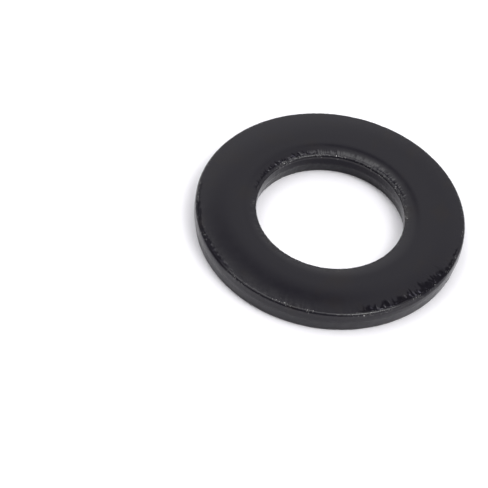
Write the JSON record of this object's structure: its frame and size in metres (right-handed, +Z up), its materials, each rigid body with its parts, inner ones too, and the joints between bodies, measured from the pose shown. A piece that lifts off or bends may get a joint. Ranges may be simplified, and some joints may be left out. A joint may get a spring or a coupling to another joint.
{
  "type": "flat washer",
  "caption": "Plain round flat washer in black-finished steel, with rolled upper edges; spreads a bolt head's or nut's load.",
  "frame": {"origin": "centre of the bore on the lower bearing face", "axes": "+Z up the bore's axis, from the flat lower face to the rolled upper face; X and Y are any two directions across the face"},
  "size_m": [0.024, 0.024, 0.0025],
  "materials": {
    "black_steel": "satin black conversion coating on blanked steel, a little shinier on the rolled edges"
  },
  "bodies": {
    "root": {"washer": "black_steel"}
  },
  "joints": []
}
